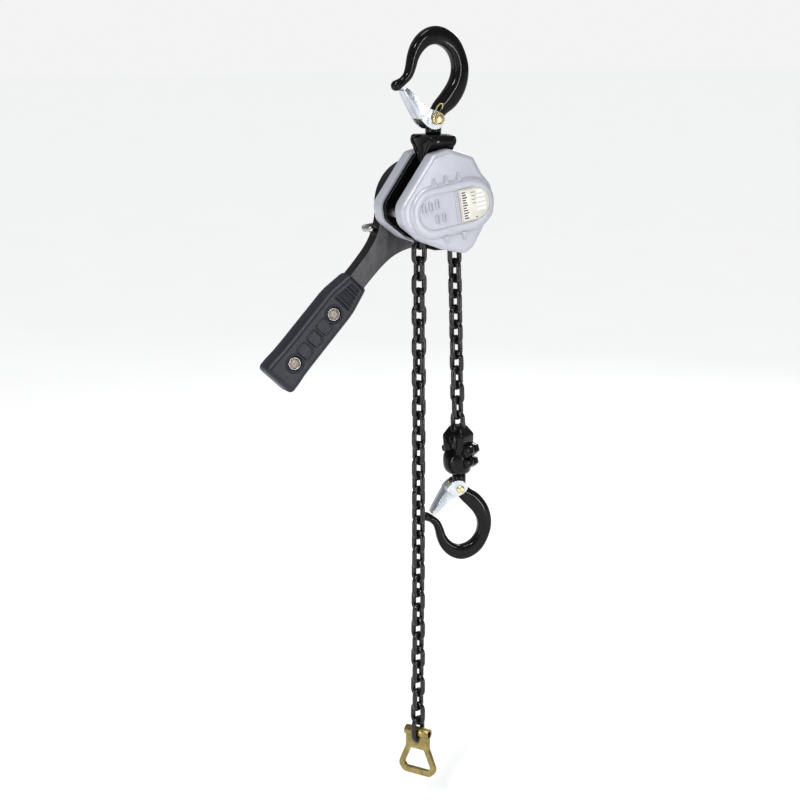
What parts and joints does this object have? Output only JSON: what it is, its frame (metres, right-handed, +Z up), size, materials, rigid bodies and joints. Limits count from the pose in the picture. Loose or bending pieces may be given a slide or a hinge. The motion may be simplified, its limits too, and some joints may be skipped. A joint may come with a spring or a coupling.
{
  "type": "lever chain hoist",
  "caption": "Small lever chain hoist with a latched top hook, silver gear and brake covers, ratchet lever with grip, load chain with lower hook block, and a slack chain end with stop ring.",
  "frame": {"origin": "the bearing point inside the top hook, where it rests on whatever holds it", "axes": "+Z up along the top hook's shank, +Y towards the lever and hand wheel, +X to the right seen from the gear cover"},
  "size_m": [0.1763, 0.0798, 0.5914],
  "materials": {
    "black_paint": "glossy black paint over forged steel",
    "chain_black": "black oxide, oiled",
    "silver_paint": "satin bluish silver paint",
    "bright_zinc": "bright zinc plate on folded sheet",
    "yellow_zinc": "yellow zinc plate",
    "steel": "machined steel",
    "bronze": "sintered bronze",
    "brake_lining": "pressed friction lining",
    "graphite_paint": "semi-matt graphite paint on a die casting",
    "dark_plastic": "moulded blue-black plastic",
    "label_cream": "printed film label"
  },
  "bodies": {
    "hook_body": {"top_hook": "black_paint", "top_latch_rivet": "yellow_zinc"},
    "top_latch": {"top_latch": "bright_zinc"},
    "yoke": {"yoke_front_half": "black_paint", "yoke_rear_half": "black_paint", "yoke_screw_1": "steel", "yoke_screw_2": "steel"},
    "frame": {"front_side_plate": "black_paint", "rear_side_plate": "black_paint", "front_bush": "bronze", "rear_bush": "bronze", "riveted_stay_1": "steel", "riveted_stay_2": "steel", "riveted_stay_3": "steel", "gear_cover": "silver_paint", "brake_cover": "silver_paint", "rating_label": "label_cream", "suspension_pin": "steel", "suspension_pin_clip": "steel", "chain_stripper": "black_paint", "brake_pawl_pin_1": "steel", "brake_pawl_pin_2": "steel", "brake_ratchet": "steel", "front_friction_disc": "brake_lining", "rear_friction_disc": "brake_lining"},
    "sheave": {"load_sheave": "steel", "load_gear": "steel", "wrapped_links": "chain_black"},
    "intermediate_1": {"intermediate_gear_1": "steel"},
    "intermediate_2": {"intermediate_gear_2": "steel"},
    "drive": {"drive_shaft": "steel", "brake_hub": "steel", "drive_gear": "steel", "hand_wheel": "black_paint", "wheel_nut": "steel"},
    "brake_pawl_1": {"brake_pawl_1": "steel"},
    "brake_pawl_2": {"brake_pawl_2": "steel"},
    "lever": {"lever_housing": "graphite_paint", "lever_cover": "graphite_paint", "lever_cover_screw_1": "steel", "lever_cover_screw_2": "steel", "lever_cover_screw_3": "steel", "grip_front_shell": "dark_plastic", "grip_rear_shell": "dark_plastic", "grip_screw_1": "steel", "grip_screw_2": "steel"},
    "selector": {"selector_lever": "bright_zinc", "drive_pawl": "steel"},
    "tail_feed": {"tail_top_link": "chain_black"},
    "tail": {"tail_chain": "chain_black"},
    "stop_ring": {"stop_ring": "yellow_zinc"},
    "load_feed": {"load_top_link": "chain_black"},
    "load": {"load_chain": "chain_black"},
    "block": {"block_left_half": "black_paint", "block_right_half": "black_paint", "chain_pin": "steel", "block_bolt": "steel"},
    "lower_hook": {"lower_hook": "black_paint", "lower_latch_rivet": "yellow_zinc"},
    "lower_latch": {"lower_latch": "bright_zinc"}
  },
  "joints": [
    {"name": "top_latch_hinge", "type": "hinge", "parent": "hook_body", "child": "top_latch", "pos_m": [-0.001, 0, -0.053], "axis": [0, 1, 0], "range_deg": [0, 40], "stiffness_Nm_per_rad": 0.02, "springref_deg": -17.19},
    {"name": "top_swivel", "type": "hinge", "parent": "hook_body", "child": "yoke", "pos_m": [0, 0, -0.07], "axis": [0, 0, 1], "continuous": true},
    {"name": "body_swing", "type": "hinge", "parent": "yoke", "child": "frame", "pos_m": [-0.00002, 0, -0.08595], "axis": [0, 1, 0], "range_deg": [-8, 8]},
    {"name": "lever_turn", "type": "hinge", "parent": "frame", "child": "lever", "pos_m": [0.0036, 0, -0.118], "axis": [0, 1, 0], "continuous": true},
    {"name": "selector_turn", "type": "hinge", "parent": "lever", "child": "selector", "pos_m": [-0.01286, 0, -0.13547], "axis": [0, 1, 0], "range_deg": [0, 30]},
    {"name": "load_feed_slide", "type": "slide", "parent": "frame", "child": "load_feed", "axis": [0, 0, 1], "range_m": [-0.0096, 0.0096]},
    {"name": "tail_feed_slide", "type": "slide", "parent": "frame", "child": "tail_feed", "axis": [0, 0, 1], "range_m": [-0.0097, 0.0097]},
    {"name": "sheave_turn", "type": "hinge", "parent": "frame", "child": "sheave", "pos_m": [0.0036, 0, -0.118], "axis": [0, 1, 0], "range_deg": [-36, 36]},
    {"name": "intermediate_1_turn", "type": "hinge", "parent": "frame", "child": "intermediate_1", "pos_m": [0.01868, 0, -0.11266], "axis": [0, 1, 0], "range_deg": [-109, 109]},
    {"name": "intermediate_2_turn", "type": "hinge", "parent": "frame", "child": "intermediate_2", "pos_m": [-0.01148, 0, -0.12334], "axis": [0, 1, 0], "range_deg": [-109, 109]},
    {"name": "drive_turn", "type": "hinge", "parent": "frame", "child": "drive", "pos_m": [0.0036, 0, -0.118], "axis": [0, 1, 0], "range_deg": [-325, 325]},
    {"name": "brake_pawl_1_hinge", "type": "hinge", "parent": "frame", "child": "brake_pawl_1", "pos_m": [-0.02468, 0, -0.12638], "axis": [0, -1, 0], "range_deg": [0, 10], "stiffness_Nm_per_rad": 0.01, "springref_deg": -17.19},
    {"name": "brake_pawl_2_hinge", "type": "hinge", "parent": "frame", "child": "brake_pawl_2", "pos_m": [0.02391, 0, -0.0966], "axis": [0, -1, 0], "range_deg": [0, 10], "stiffness_Nm_per_rad": 0.01, "springref_deg": -17.19},
    {"name": "tail_swing", "type": "hinge", "parent": "tail_feed", "child": "tail", "pos_m": [-0.0117, 0, -0.1471], "axis": [0, 1, 0], "range_deg": [0, 8]},
    {"name": "ring_swing", "type": "hinge", "parent": "tail", "child": "stop_ring", "pos_m": [-0.0117, 0, -0.541], "axis": [0.5, -0.866, 0], "range_deg": [-60, 60]},
    {"name": "load_swing", "type": "hinge", "parent": "load_feed", "child": "load", "pos_m": [0.0189, 0, -0.1505], "axis": [0, 1, 0], "range_deg": [-8, 0]},
    {"name": "block_swing", "type": "hinge", "parent": "load", "child": "block", "pos_m": [0.02336, 0, -0.29233], "axis": [0.885, 0.4648, 0.0278], "range_deg": [-4, 4]},
    {"name": "lower_swivel", "type": "hinge", "parent": "block", "child": "lower_hook", "pos_m": [0.02454, 0, -0.33], "axis": [0.0314, 0, -0.9995], "continuous": true},
    {"name": "lower_latch_hinge", "type": "hinge", "parent": "lower_hook", "child": "lower_latch", "pos_m": [0.02402, 0.00022, -0.34102], "axis": [-0.2418, -0.9703, -0.0076], "range_deg": [0, 40], "stiffness_Nm_per_rad": 0.02, "springref_deg": -17.19}
  ],
  "couplings": [
    {"joint": "sheave_turn", "follows": "load_feed_slide", "rad_per_m": -65.359},
    {"joint": "intermediate_1_turn", "follows": "load_feed_slide", "rad_per_m": 196.08},
    {"joint": "intermediate_2_turn", "follows": "load_feed_slide", "rad_per_m": 196.08},
    {"joint": "drive_turn", "follows": "load_feed_slide", "rad_per_m": -588.24},
    {"joint": "tail_feed_slide", "follows": "load_feed_slide", "ratio": -1}
  ]
}
